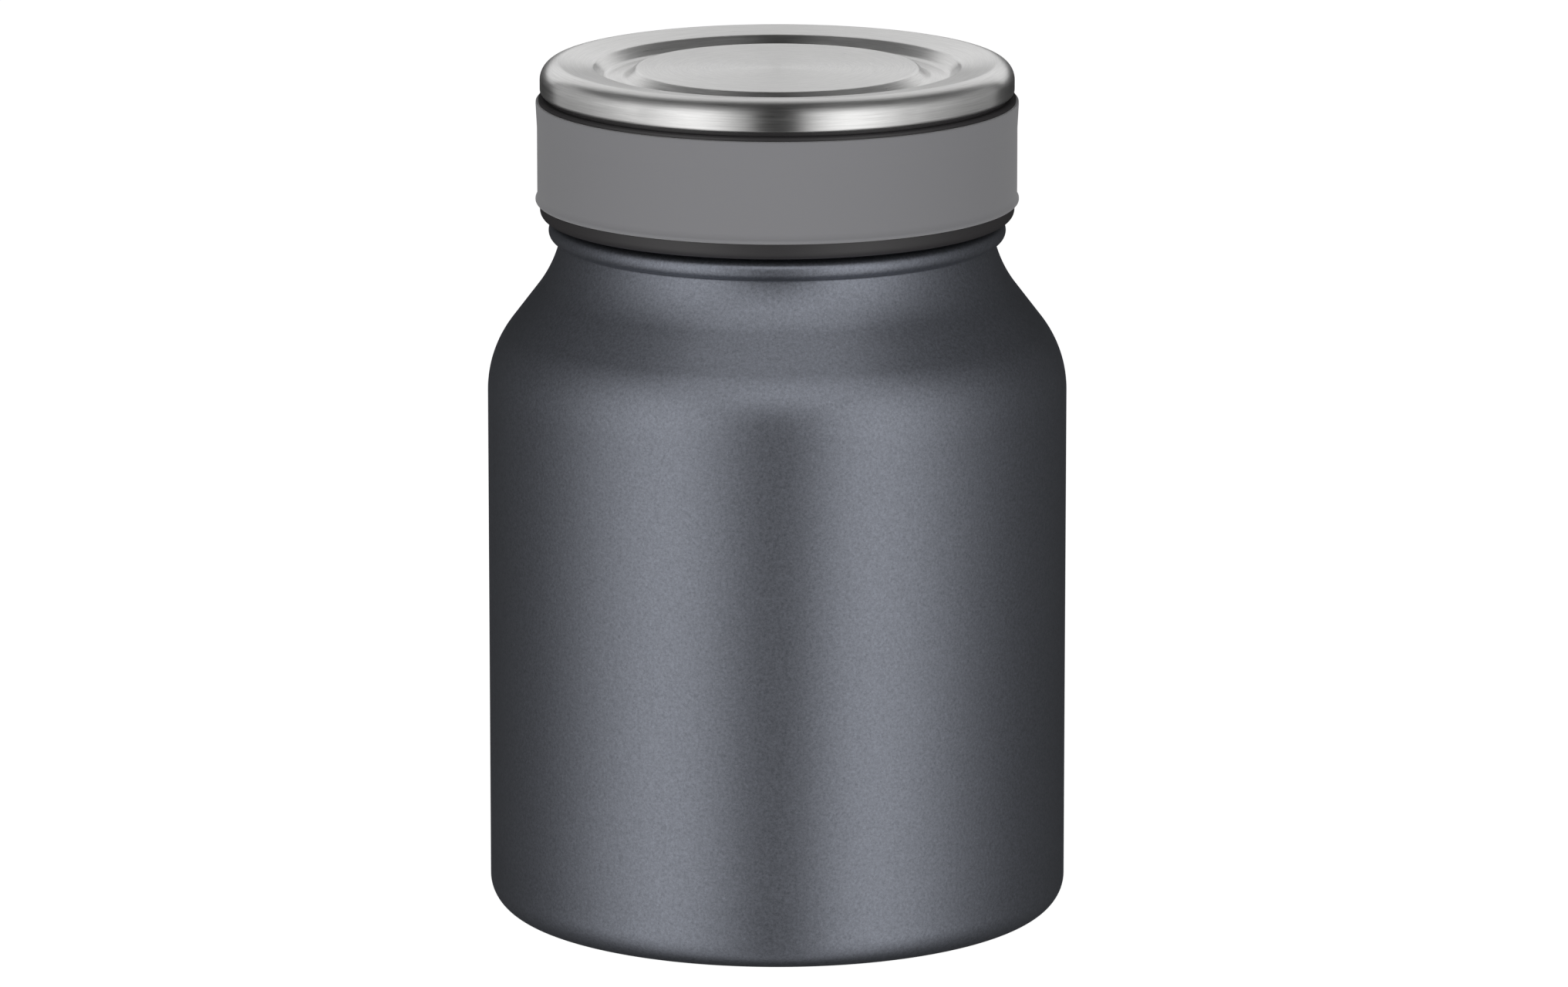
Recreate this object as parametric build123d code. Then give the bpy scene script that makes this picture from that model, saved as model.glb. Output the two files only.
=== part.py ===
"""Insulated food jar with a screw lid, in millimetres.

The jar stands on z = 0 with its axis on Z. Every piece but the threads and the getter is turned:
its section is drawn as (radius, height) points and spun round the axis. The lid is drawn closed.
"""

import math
import os

from build123d import *

# ---------------------------------------------------------------- jar walls
body_radius = 47.0  # outside of the cylindrical wall
shell_thickness = 0.5  # outer steel sheet
liner_thickness = 0.4  # inner steel sheet
wall_gap = 5.0  # vacuum space between the straight walls
shoulder_gap = 4.0  # the same, under the shoulder
neck_gap = 0.8  # the same, in the neck
shoulder_width = 12.3  # from the wall in to the neck
shoulder_slope = 37.4  # degrees between the slope and the wall
shoulder_rounding = 18.0  # from the wall into the slope
throat_rounding = 21.0  # from the slope into the neck
slope_straight_share = 0.02  # least share of the slope between its two roundings
neck_height = 15.1  # from the bead to the top of the neck
mouth_rounding = 0.3

bead_height = 112.3  # centre of the rolled bead below the lid
bead_rise = 4.1  # of the bead above where the slope and the neck would meet
bead_section_radius = 1.6
bead_projection = 2.32  # how far it stands out of the neck
bead_crease_rounding = 0.45

liner_bottom = 11.0  # underside of the inner vessel
liner_corner_rounding = 9.0
liner_shoulder_rounding = 13.5
liner_throat_rounding = 19.0

# ---------------------------------------------------------------- jar bottom
base_cup_height = 11.0  # weld between the base cup and the wall
base_corner_rounding = 5.2
stand_ring_width = 3.3  # flat ring that the jar stands on
recess_depth = 2.4
recess_slope_run = 1.2
recess_rounding = 1.2
base_cover_thickness = 0.5
base_cover_clearance = 0.5
dimple_radius = 6.0  # pocket for the vacuum seal
dimple_depth = 1.2
dimple_slope_run = 1.0
dimple_rounding = 0.7
pumping_hole_radius = 1.0
seal_clearance = 0.1
seal_tail = 0.4  # how far the solder stands through the hole
getter_radius = 4.5
getter_thickness = 1.8
getter_inset = 17.3  # from the edge of the recess in to the getter's centre
dish_wall = 0.4
dish_height = 1.4
dish_clearance = 0.1
foil_thickness = 0.15
foil_clearance = 0.05
foil_margin = 3.0  # bare length at each end of the straight wall

# ---------------------------------------------------------------- threads
thread_starts = 3
thread_pitch = 4.0  # between neighbouring ridges
thread_height = 1.0  # ridge above its root
thread_root_width = 1.7
thread_crest_width = 0.8
thread_foot = 0.3  # depth of the ridge's foot in the wall
thread_axial_play = 0.35
thread_radial_play = 0.35
thread_ramp = 12.0  # degrees over which a ridge fades out
jar_thread_offset = 5.7  # from the bead up to the start of the jar's ridges
jar_thread_margin = 2.2  # from the end of the jar's ridges up to the top of the neck
lid_thread_rise = 5.4  # from the start of a lid ridge to its end
lid_thread_lag = 10.0  # degrees from the start of the jar's ridge to the lid's

# ---------------------------------------------------------------- lid
lid_gap = 0.5  # between the bead and the lid
lid_wall = 1.4  # plastic wall behind the grip band
skirt_step = 0.95  # how far the skirt below the grip band stands out of the lid's wall
skirt_height = 2.7
skirt_rounding = 1.4
band_thickness = 1.32
band_height = 16.45
band_seat_clearance = 0.05
lower_lip = 0.3  # how far the band's lips stand out of it
upper_lip = 0.2
lip_height = 1.1
lip_rounding = 0.35
collar_step = 1.15  # how far the collar above the grip band stands out of the lid's wall
collar_height = 0.7
collar_rounding = 0.25
reveal_height = 0.5  # dark gap between the collar and the cap

cap_overhang = 0.9  # how far the cap stands out of the lid's wall
cap_height = 5.5  # to where the side and the top of the rim would meet
cap_thickness = 0.4
cap_rounding = 2.9
cap_hem_rounding = 0.7
cap_seat_clearance = 0.15
cap_rim_fall = 1.1  # of the rim's top, from the cap's side in to the groove
rim_width = 8.65
groove_width = 6.85
groove_wall_run = 1.9
groove_depth = 1.6
groove_rounding = 1.4
groove_outer_rounding = 0.7
disc_rounding = 0.7
disc_drop = 1.4  # raised disc below the top of the cap's height

deck_thickness = 1.8
deck_clearance = 0.4  # under the groove
rim_ring_width = 3.0
rim_ring_rounding = 2.2
rim_ring_clearance = 0.8
weld_ring_width = 1.5
weld_ring_inset = 0.4

gasket_thickness = 1.4
gasket_gap = 0.3  # to the rim and the mouth of the jar
gasket_play = 0.3  # to the plug inside it and the flange above it
gasket_lip_thickness = 0.5
gasket_lip_depth = 3.0
gasket_rounding = 0.2
plug_depth = 11.0  # how far the plug reaches below the rim
plug_wall = 1.6
plug_rounding = 3.0
plug_flange_thickness = 1.8
plug_thread_clearance = 0.15  # lets the plug pass the lid's thread
foam_clearance = 0.2

# ---------------------------------------------------------------- tied sizes
slope = math.radians(shoulder_slope)
neck_radius = body_radius - shoulder_width
neck_foot_height = bead_height - bead_rise
neck_top = bead_height + neck_height
shell_inner_radius = body_radius - shell_thickness
liner_radius = shell_inner_radius - wall_gap
neck_bore_radius = neck_radius - shell_thickness
liner_neck_radius = neck_bore_radius - neck_gap
mouth_radius = liner_neck_radius - liner_thickness
rim_height = neck_top + liner_thickness
liner_inset = shell_thickness + shoulder_gap

stand_ring_inner = body_radius - base_corner_rounding - stand_ring_width
recess_radius = stand_ring_inner - recess_slope_run
getter_offset = recess_radius - getter_inset  # from the jar's axis
base_floor = recess_depth + shell_thickness
dimple_floor = recess_depth + dimple_depth

thread_lead = thread_pitch * thread_starts
thread_flank_run = (thread_root_width - thread_crest_width) / 2
jar_thread_bottom = bead_height + jar_thread_offset
jar_thread_rise = neck_top - jar_thread_margin - jar_thread_bottom
jar_crest_radius = neck_radius + thread_height
lid_bore_radius = jar_crest_radius + thread_radial_play
lid_crest_radius = lid_bore_radius - thread_height
lid_radius = lid_bore_radius + lid_wall
skirt_radius = lid_radius + skirt_step
band_inner_radius = lid_radius + band_seat_clearance
band_radius = band_inner_radius + band_thickness
collar_radius = lid_radius + collar_step
cap_radius = lid_radius + cap_overhang
groove_outer_radius = cap_radius - rim_width
groove_inner_radius = groove_outer_radius - groove_width

lid_bottom = bead_height + bead_section_radius + lid_gap
band_bottom = lid_bottom + skirt_height
band_top = band_bottom + band_height
collar_top = band_top + collar_height
cap_bottom = collar_top + reveal_height
cap_top = cap_bottom + cap_height
disc_top = cap_top - disc_drop
groove_bottom = disc_top - groove_depth
deck_top = groove_bottom - cap_thickness - deck_clearance
deck_bottom = deck_top - deck_thickness
rim_ring_top = cap_top - cap_thickness - rim_ring_clearance

gasket_bottom = rim_height + gasket_gap
gasket_top = gasket_bottom + gasket_thickness
gasket_lip_radius = mouth_radius - gasket_gap
gasket_inner_radius = gasket_lip_radius - gasket_lip_thickness
plug_radius = gasket_inner_radius - gasket_play
flange_radius = lid_crest_radius - plug_thread_clearance
flange_bottom = gasket_top + gasket_play
flange_top = flange_bottom + plug_flange_thickness
plug_bottom = rim_height - plug_depth
plug_floor = plug_bottom + plug_wall


# ---------------------------------------------------------------- helpers
def turn(section):
    """The solid that a section of (radius, height) makes when it is spun round the jar's axis."""
    return revolve(Plane.XZ * section, Axis.Z)


def outline(corners):
    """A closed section from its corners: (radius, height) or (radius, height, rounding)."""
    points = [corner[:2] for corner in corners]
    roundings = [corner[2] if len(corner) > 2 else 0 for corner in corners]
    return make_face(FilletPolyline(*points, radius=roundings, close=True))


def sheet(corners, thickness, side):
    """The section of a sheet of even thickness, laid on one side of an open line."""
    points = [corner[:2] for corner in corners]
    roundings = [corner[2] if len(corner) > 2 else 0 for corner in corners[1:-1]]
    line = FilletPolyline(*points, radius=roundings)
    return make_face(offset(line, amount=thickness, side=side))


def slope_height(radius, inset):
    """Height of the shoulder's slope at a radius, on a line set in from the outside by inset."""
    return neck_foot_height - ((radius - neck_radius) * math.cos(slope) + inset) / math.sin(slope)


def shoulder(wall_radius, top_radius, inset, wall_rounding, top_rounding):
    """The two corners of a shoulder set in by inset; a short slope limits their roundings."""
    slope_length = (wall_radius - top_radius) / math.sin(slope)
    rounded_length = (wall_rounding + top_rounding) * math.tan(slope / 2)
    fit = min(1, (1 - slope_straight_share) * slope_length / rounded_length)
    return [
        (wall_radius, slope_height(wall_radius, inset), wall_rounding * fit),
        (top_radius, slope_height(top_radius, inset), top_rounding * fit),
    ]


def at(radius, degrees):
    """A point in plan at a radius and an angle round the jar's axis."""
    angle = math.radians(degrees)
    return (radius * math.cos(angle), radius * math.sin(angle))


def fade(root_radius, crest_radius, full_angle, end_angle, bottom, top):
    """What is cut from a ridge so that it fades from full height to nothing at its end."""
    beyond = end_angle + (end_angle - full_angle) / 2
    clear = crest_radius + 2 * (crest_radius - root_radius)
    corners = [
        at(crest_radius, full_angle),
        at(root_radius, end_angle),
        at(root_radius, beyond),
        at(clear, beyond),
        at(clear, full_angle),
    ]
    plan = make_face(Polyline(*corners, close=True))
    return Pos(0, 0, bottom) * extrude(plan, top - bottom)


def ridge(root_radius, crest_radius, first_angle, rise, bottom):
    """One start of a thread: a ridge that climbs round the axis and fades out at both ends."""
    foot_radius = root_radius + math.copysign(thread_foot, root_radius - crest_radius)
    foot_width = thread_root_width + 2 * thread_flank_run * thread_foot / thread_height
    profile = Polyline(
        (foot_radius, -foot_width / 2),
        (crest_radius, -thread_crest_width / 2),
        (crest_radius, thread_crest_width / 2),
        (foot_radius, foot_width / 2),
        close=True,
    )
    path = Helix(pitch=thread_lead, height=rise, radius=root_radius)
    thread = sweep(Plane.XZ * make_face(profile), path=path, is_frenet=True)
    low = -thread_root_width
    high = rise + thread_root_width
    end_angle = 360 * rise / thread_lead
    thread -= fade(root_radius, crest_radius, thread_ramp, 0, low, high)
    thread -= fade(root_radius, crest_radius, end_angle - thread_ramp, end_angle, low, high)
    return Pos(0, 0, bottom) * Rot(0, 0, first_angle) * thread


def thread_ridges(root_radius, crest_radius, first_angle, rise, bottom):
    """All starts of a thread, evenly spaced round the axis."""
    step = 360 / thread_starts
    return [
        ridge(root_radius, crest_radius, first_angle + start * step, rise, bottom)
        for start in range(thread_starts)
    ]


# ---------------------------------------------------------------- jar
def walled_region(bottom, top, inset):
    """Everything inside the jar's outer surface moved in by inset, from bottom to top."""
    wall_radius = body_radius - inset
    top_radius = neck_radius - inset
    region = outline(
        [(0, bottom), (wall_radius, bottom)]
        + shoulder(wall_radius, top_radius, inset, shoulder_rounding - inset, throat_rounding + inset)
        + [(top_radius, top), (0, top)]
    )
    bead_place = Pos(neck_radius + bead_projection - bead_section_radius, bead_height)
    return region + bead_place * Circle(bead_section_radius - inset)


def make_outer_shell():
    """Coated wall, shoulder, rolled bead and threaded neck."""
    overrun = shell_thickness  # opens both ends of the hollow
    outside = walled_region(base_cup_height, neck_top, 0)
    inside = walled_region(base_cup_height - overrun, neck_top + overrun, shell_thickness)
    shell = turn(outside - inside)
    near_bead = bead_height + bead_section_radius
    rings = shell.edges().filter_by(GeomType.CIRCLE)
    rings = rings.filter_by_position(Axis.Z, bead_height - bead_section_radius, near_bead)
    creases = [ring for ring in rings if ring.radius > neck_radius]
    shell = fillet(creases, bead_crease_rounding)
    size = (neck_radius, jar_crest_radius, 0, jar_thread_rise, jar_thread_bottom)
    for thread in thread_ridges(*size):
        shell += thread
    return shell


def make_base_cup():
    """Pressed bottom with the rounded edge, the standing ring, the recess and the pumping hole."""
    section = sheet(
        [
            (body_radius, base_cup_height),
            (body_radius, 0, base_corner_rounding),
            (stand_ring_inner, 0, recess_rounding),
            (recess_radius, recess_depth, recess_rounding),
            (dimple_radius, recess_depth, dimple_rounding),
            (dimple_radius - dimple_slope_run, dimple_floor, dimple_rounding),
            (pumping_hole_radius, dimple_floor),
        ],
        shell_thickness,
        Side.RIGHT,
    )
    return turn(section)


def make_base_cover():
    """Thin bare disc in the recess, over the vacuum seal."""
    radius = recess_radius - recess_rounding - base_cover_clearance
    disc = extrude(Circle(radius), base_cover_thickness)
    return Pos(0, 0, recess_depth - base_cover_thickness) * disc


def make_vacuum_seal():
    """Solder plug: a button in the dimple and a tail through the pumping hole."""
    button_radius = dimple_radius - dimple_slope_run - dimple_rounding
    tail_radius = pumping_hole_radius - seal_clearance
    tail_top = dimple_floor + shell_thickness + seal_tail
    section = outline(
        [
            (0, recess_depth + seal_clearance),
            (button_radius, recess_depth + seal_clearance),
            (button_radius, dimple_floor),
            (tail_radius, dimple_floor),
            (tail_radius, tail_top),
            (0, tail_top),
        ]
    )
    return turn(section)


def make_inner_liner():
    """Inner vessel, from its floor to the flange that closes the mouth."""
    roundings = (liner_shoulder_rounding, liner_throat_rounding)
    section = sheet(
        [(0, liner_bottom), (liner_radius, liner_bottom, liner_corner_rounding)]
        + shoulder(liner_radius, liner_neck_radius, liner_inset, *roundings)
        + [(liner_neck_radius, neck_top, mouth_rounding), (neck_radius, neck_top)],
        liner_thickness,
        Side.LEFT,
    )
    return turn(section)


def make_radiation_foil():
    """Foil wrapped round the straight wall of the inner vessel."""
    inner_radius = liner_radius + foil_clearance
    wall_end = slope_height(liner_radius, liner_inset) - liner_shoulder_rounding * math.tan(slope / 2)
    bottom = liner_bottom + liner_corner_rounding + foil_margin
    top = wall_end - foil_margin
    ring = Circle(inner_radius + foil_thickness) - Circle(inner_radius)
    return Pos(0, 0, bottom) * extrude(ring, top - bottom)


def make_getter():
    """Getter pill in its dish."""
    pill = extrude(Circle(getter_radius), getter_thickness)
    return Pos(getter_offset, 0, base_floor + dish_wall) * pill


def make_getter_holder():
    """Small dish that holds the getter pill on the base cup."""
    hollow_radius = getter_radius + dish_clearance
    dish = extrude(Circle(hollow_radius + dish_wall), dish_height)
    dish -= Pos(0, 0, dish_wall) * extrude(Circle(hollow_radius), dish_height)
    return Pos(getter_offset, 0, base_floor) * dish


# ---------------------------------------------------------------- lid
def make_lid_cover():
    """Brushed steel cap: hemmed side, rounded rim, ring groove and raised disc."""
    section = sheet(
        [
            (lid_radius + cap_seat_clearance, cap_bottom),
            (cap_radius, cap_bottom, cap_hem_rounding),
            (cap_radius, cap_top, cap_rounding),
            (groove_outer_radius, cap_top - cap_rim_fall, groove_outer_rounding),
            (groove_outer_radius - groove_wall_run, groove_bottom, groove_rounding),
            (groove_inner_radius + groove_wall_run, groove_bottom, groove_rounding),
            (groove_inner_radius, disc_top, disc_rounding),
            (0, disc_top),
        ],
        cap_thickness,
        Side.LEFT,
    )
    return turn(section)


def make_grip_band():
    """Soft ring round the lid, with a small lip at each edge."""
    section = outline(
        [
            (band_inner_radius, band_bottom),
            (band_radius + lower_lip, band_bottom, lip_rounding),
            (band_radius + lower_lip, band_bottom + lip_height / 2, lip_rounding),
            (band_radius, band_bottom + lip_height, lip_rounding),
            (band_radius, band_top - lip_height, lip_rounding),
            (band_radius + upper_lip, band_top - lip_height / 2, lip_rounding),
            (band_radius + upper_lip, band_top, lip_rounding),
            (band_inner_radius, band_top),
        ]
    )
    return turn(section)


def make_lid_shell():
    """Plastic shell: skirt with the inner thread, wall, collar, deck, rim ring and weld ring."""
    weld_ring_outer = flange_radius - weld_ring_inset
    weld_ring_inner = weld_ring_outer - weld_ring_width
    rim_ring_inner = lid_radius - rim_ring_width
    section = outline(
        [
            (0, deck_bottom),
            (weld_ring_inner, deck_bottom),
            (weld_ring_inner, flange_top),
            (weld_ring_outer, flange_top),
            (weld_ring_outer, deck_bottom),
            (lid_bore_radius, deck_bottom),
            (lid_bore_radius, lid_bottom),
            (skirt_radius, lid_bottom, skirt_rounding),
            (skirt_radius, band_bottom),
            (lid_radius, band_bottom),
            (lid_radius, band_top),
            (collar_radius, band_top),
            (collar_radius, collar_top, collar_rounding),
            (lid_radius, collar_top),
            (lid_radius, rim_ring_top, rim_ring_rounding),
            (rim_ring_inner, rim_ring_top),
            (rim_ring_inner, deck_top),
            (0, deck_top),
        ]
    )
    shell = turn(section)
    mesh_gap = thread_radial_play * thread_flank_run / thread_height
    drop = (thread_root_width + thread_crest_width) / 2 - mesh_gap + thread_axial_play
    bottom = jar_thread_bottom - drop + thread_lead * lid_thread_lag / 360
    size = (lid_bore_radius, lid_crest_radius, lid_thread_lag, lid_thread_rise, bottom)
    for thread in thread_ridges(*size):
        shell += thread
    return shell


def make_lid_plug():
    """Food-side cup of the lid, with the flange that backs the gasket."""
    section = outline(
        [
            (0, plug_bottom),
            (plug_radius, plug_bottom, plug_rounding),
            (plug_radius, flange_bottom),
            (flange_radius, flange_bottom),
            (flange_radius, flange_top),
            (plug_radius - plug_wall, flange_top),
            (plug_radius - plug_wall, plug_floor, plug_rounding - plug_wall),
            (0, plug_floor),
        ]
    )
    return turn(section)


def make_lid_foam():
    """Insulating foam between the plug and the deck."""
    radius = plug_radius - plug_wall - foam_clearance
    section = outline(
        [
            (0, plug_floor),
            (radius, plug_floor, plug_rounding - plug_wall),
            (radius, deck_bottom - foam_clearance),
            (0, deck_bottom - foam_clearance),
        ]
    )
    return turn(section)


def make_lid_gasket():
    """Seal on the rim, with a thin lip that hangs inside the mouth."""
    lip_bottom = gasket_bottom - gasket_lip_depth
    section = outline(
        [
            (gasket_inner_radius, lip_bottom),
            (gasket_lip_radius, lip_bottom, gasket_rounding),
            (gasket_lip_radius, gasket_bottom),
            (flange_radius, gasket_bottom, gasket_rounding),
            (flange_radius, gasket_top, gasket_rounding),
            (gasket_inner_radius, gasket_top),
        ]
    )
    return turn(section)


pieces = {
    "outer_shell": make_outer_shell,
    "base_cup": make_base_cup,
    "base_cover": make_base_cover,
    "vacuum_seal": make_vacuum_seal,
    "inner_liner": make_inner_liner,
    "radiation_foil": make_radiation_foil,
    "getter": make_getter,
    "getter_holder": make_getter_holder,
    "lid_cover": make_lid_cover,
    "grip_band": make_grip_band,
    "lid_shell": make_lid_shell,
    "lid_plug": make_lid_plug,
    "lid_foam": make_lid_foam,
    "lid_gasket": make_lid_gasket,
}

os.makedirs("parts", exist_ok=True)
for name, make in pieces.items():
    export_step(make(), f"parts/{name}.step")
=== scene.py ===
"""Insulated food jar: the pieces that show, their finishes and a plain studio.

The file is laid out as an add-on. Each piece has its operator, and the panel in the 3D view's
sidebar lists them. Lengths are in metres, in the frame of the packed parts: the jar stands on
z = 0 with its axis on Z, and a turned piece is drawn as (radius, height) points and spun.
"""

import math

import bpy
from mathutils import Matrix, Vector


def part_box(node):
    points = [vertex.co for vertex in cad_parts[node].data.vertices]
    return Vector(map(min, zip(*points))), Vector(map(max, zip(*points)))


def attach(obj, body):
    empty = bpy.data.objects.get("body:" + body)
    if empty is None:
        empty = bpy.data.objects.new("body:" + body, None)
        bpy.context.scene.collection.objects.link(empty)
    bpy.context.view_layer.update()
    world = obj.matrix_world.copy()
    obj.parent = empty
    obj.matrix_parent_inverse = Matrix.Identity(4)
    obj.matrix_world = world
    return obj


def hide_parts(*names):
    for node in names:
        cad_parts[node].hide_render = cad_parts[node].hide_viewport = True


bl_info = {
    "name": "Insulated Food Jar",
    "version": (1, 0, 0),
    "blender": (4, 5, 0),
    "location": "View3D > Sidebar > Food Jar",
    "description": "Models a coated steel food jar with a screw lid, its finishes and its studio",
    "category": "Add Mesh",
}

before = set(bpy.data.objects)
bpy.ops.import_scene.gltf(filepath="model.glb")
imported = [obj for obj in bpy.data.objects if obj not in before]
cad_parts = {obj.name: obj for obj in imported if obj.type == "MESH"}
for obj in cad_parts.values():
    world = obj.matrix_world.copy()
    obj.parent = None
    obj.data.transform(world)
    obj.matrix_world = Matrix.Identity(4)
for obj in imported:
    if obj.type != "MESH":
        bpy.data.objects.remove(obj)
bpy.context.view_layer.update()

MM = 0.001
WELD = 0.0004 * MM  # vertices nearer than this are one
ARC_SAG = 0.0015 * MM  # how far a run of an arc may leave the true arc
ARC_STEP = math.radians(9)
TURN_STEPS = 256
RIDGE_STEP = math.radians(3)
SMOOTH_ANGLE = math.radians(35)
GRAIN_SPREAD = 0.05  # how far grain moves a finish's roughness, up and down
BRUSHING_SPREAD = 0.06  # the same for brushing


def low(node):
    """Lowest height of a packed node."""
    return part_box(node)[0][2]


def high(node):
    """Highest height of a packed node."""
    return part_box(node)[1][2]


def reach(node):
    """Outer radius of a packed node that is turned round the jar's axis."""
    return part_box(node)[1][0]


# ------------------------------------------------------------------------------- properties
def length(name, default, description):
    """A length that the user can change."""
    return bpy.props.FloatProperty(
        name=name, description=description, default=default, min=0, precision=5, unit="LENGTH"
    )


def colour(name, default, description):
    """A colour that the user can change."""
    return bpy.props.FloatVectorProperty(
        name=name, description=description, default=default, size=3, min=0, max=1, subtype="COLOR"
    )


def share(name, default, description):
    """A value from 0 to 1 that the user can change."""
    return bpy.props.FloatProperty(
        name=name, description=description, default=default, min=0, max=1, subtype="FACTOR"
    )


def angle(name, default, description):
    """An angle that the user can change, given in degrees."""
    return bpy.props.FloatProperty(
        name=name,
        description=description,
        default=math.radians(default),
        subtype="ANGLE",
        unit="ROTATION",
    )


class JarSizes(bpy.types.PropertyGroup):
    """Sizes of the coated jar and its inner vessel."""

    wall_radius: length("Wall radius", reach("outer_shell"), "Outside of the straight wall")
    weld_height: length("Weld height", low("outer_shell"), "Where the wall meets the base cup")
    neck_top: length("Neck top", high("outer_shell"), "Top edge of the threaded neck")
    wall_sheet: length("Wall sheet", 0.5 * MM, "Thickness of the outer sheet")
    neck_radius: length("Neck radius", 34.7 * MM, "Outside of the neck")
    slope: angle("Shoulder slope", 37.4, "Between the shoulder and the wall")
    neck_foot: length("Neck foot", 108.2 * MM, "Height where the slope and the neck would meet")
    shoulder_rounding: length("Shoulder rounding", 18 * MM, "From the wall into the slope")
    throat_rounding: length("Throat rounding", 21 * MM, "From the slope into the neck")
    bead_height: length("Bead height", 112.3 * MM, "Centre of the rolled bead")
    bead_section: length("Bead section", 1.6 * MM, "Radius of the bead's section")
    bead_projection: length("Bead projection", 2.32 * MM, "How far the bead stands out")
    bead_crease: length("Bead crease", 0.45 * MM, "Rounding on each side of the bead")
    coat_top: length("Coat top", 114.9 * MM, "Where the coat stops on the neck")
    base_rounding: length("Base rounding", 5.2 * MM, "Outer edge of the base cup")
    stand_ring: length("Standing ring", 3.3 * MM, "Width of the flat ring that the jar stands on")
    recess_depth: length("Recess depth", 2.4 * MM, "Hollow under the base")
    recess_run: length("Recess slope", 1.2 * MM, "Run and rounding of the recess's side")
    liner_sheet: length("Liner sheet", 0.4 * MM, "Thickness of the inner vessel")
    liner_radius: length("Liner radius", reach("inner_liner"), "Outside of the inner vessel")
    liner_neck: length("Liner neck", 33.4 * MM, "Outside of the inner vessel in the neck")
    liner_inset: length("Liner inset", 4.5 * MM, "Inner vessel behind the shoulder's outside")


class ThreadSizes(bpy.types.PropertyGroup):
    """Sizes of the three ridges on the neck and in the lid."""

    starts: bpy.props.IntProperty(
        name="Starts", description="Ridges side by side", default=3, min=1, max=6
    )
    lead: length("Lead", 12 * MM, "Rise in one turn")
    height: length("Ridge height", 1.0 * MM, "Ridge above its root")
    root_width: length("Root width", 1.7 * MM, "Ridge at its root")
    crest_width: length("Crest width", 0.8 * MM, "Ridge at its crest")
    foot: length("Foot", 0.25 * MM, "Depth of the ridge in the wall")
    ramp: angle("Ramp", 12, "Angle over which a ridge fades out")


class LidSizes(bpy.types.PropertyGroup):
    """Sizes of the lid's shell, band, cap, plug and seal."""

    bore_radius: length("Bore radius", 36.05 * MM, "Inside of the lid's wall")
    wall_radius: length("Wall radius", 37.45 * MM, "Outside of the lid's wall, behind the band")
    skirt_radius: length("Skirt radius", 38.4 * MM, "Skirt below the band")
    skirt_rounding: length("Skirt rounding", 1.4 * MM, "Lower edge of the skirt")
    band_radius: length("Band radius", 38.82 * MM, "Outside of the soft band")
    band_bottom: length("Band bottom", low("grip_band"), "Lower edge of the band")
    band_top: length("Band top", high("grip_band"), "Upper edge of the band")
    collar_radius: length("Collar radius", reach("lid_shell"), "Collar above the band")
    collar_height: length("Collar height", 0.7 * MM, "From the band to the top of the collar")
    collar_rounding: length("Collar rounding", 0.4 * MM, "Upper edge of the collar")
    lower_lip: length("Lower lip", 0.3 * MM, "How far the band's lower lip stands out")
    upper_lip: length("Upper lip", 0.2 * MM, "How far the band's upper lip stands out")
    lip_height: length("Lip height", 1.1 * MM, "Height of the band's lips")
    lip_rounding: length("Lip rounding", 0.35 * MM, "Edges of the band's lips")
    cap_radius: length("Cap radius", reach("lid_cover"), "Outside of the steel cap")
    cap_bottom: length("Cap bottom", low("lid_cover"), "Hem of the steel cap")
    cap_height: length("Cap height", 5.5 * MM, "From the hem to where side and rim would meet")
    cap_sheet: length("Cap sheet", 0.4 * MM, "Thickness of the steel cap")
    cap_rounding: length("Cap rounding", 2.9 * MM, "Between the cap's side and its top")
    rim_fall: length("Rim fall", 1.1 * MM, "How far the rim falls from the side to the groove")
    rim_width: length("Rim width", 8.65 * MM, "From the cap's side to the groove")
    groove_width: length("Groove width", 6.85 * MM, "From the rim to the raised disc")
    groove_depth: length("Groove depth", 1.6 * MM, "Below the raised disc")
    groove_slope: length("Groove slope", 1.9 * MM, "Run of each side of the groove")
    groove_rounding: length("Groove rounding", 1.4 * MM, "Between the sides and the floor")
    disc_drop: length("Disc drop", 1.4 * MM, "Raised disc below the cap's height")


class Finishes(bpy.types.PropertyGroup):
    """Colours and textures of the finishes."""

    coat: colour("Coat", (0.178, 0.189, 0.218), "Slate blue-grey metallic coat")
    coat_grain: share("Coat grain", 0.7, "How far the grain of the coat varies its colour")
    steel: colour("Steel", (0.60, 0.597, 0.592), "Stainless steel")
    brushing: share("Brushing", 0.35, "Strength of the turned brushing")
    band: colour("Band", (0.244, 0.243, 0.256), "Soft grey band")
    plastic: colour("Lid plastic", (0.028, 0.026, 0.0275), "Dark plastic of the lid")
    plug: colour("Plug plastic", (0.05, 0.05, 0.052), "Food-side plastic")
    gasket: colour("Gasket", (0.62, 0.63, 0.64), "Silicone seal")


class StudioSizes(bpy.types.PropertyGroup):
    """Camera and lights."""

    distance: length("Camera distance", 1.6, "From the jar's axis to the camera, along Y")
    camera_height: length("Camera height", 0.41599, "Camera above the floor")
    camera_aside: length("Camera aside", 0.0011, "Camera to the right of the jar's axis")
    camera_tilt: angle("Camera tilt", 77.744, "Camera from looking straight down")
    lens: bpy.props.FloatProperty(
        name="Lens", description="Focal length", default=230.8, min=1, unit="CAMERA"
    )
    wall_light: bpy.props.FloatProperty(
        name="Wall light", description="Brightness of the soft walls", default=1.68, min=0
    )
    room: share("Room", 0.03, "Brightness of the room round the jar")


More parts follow.
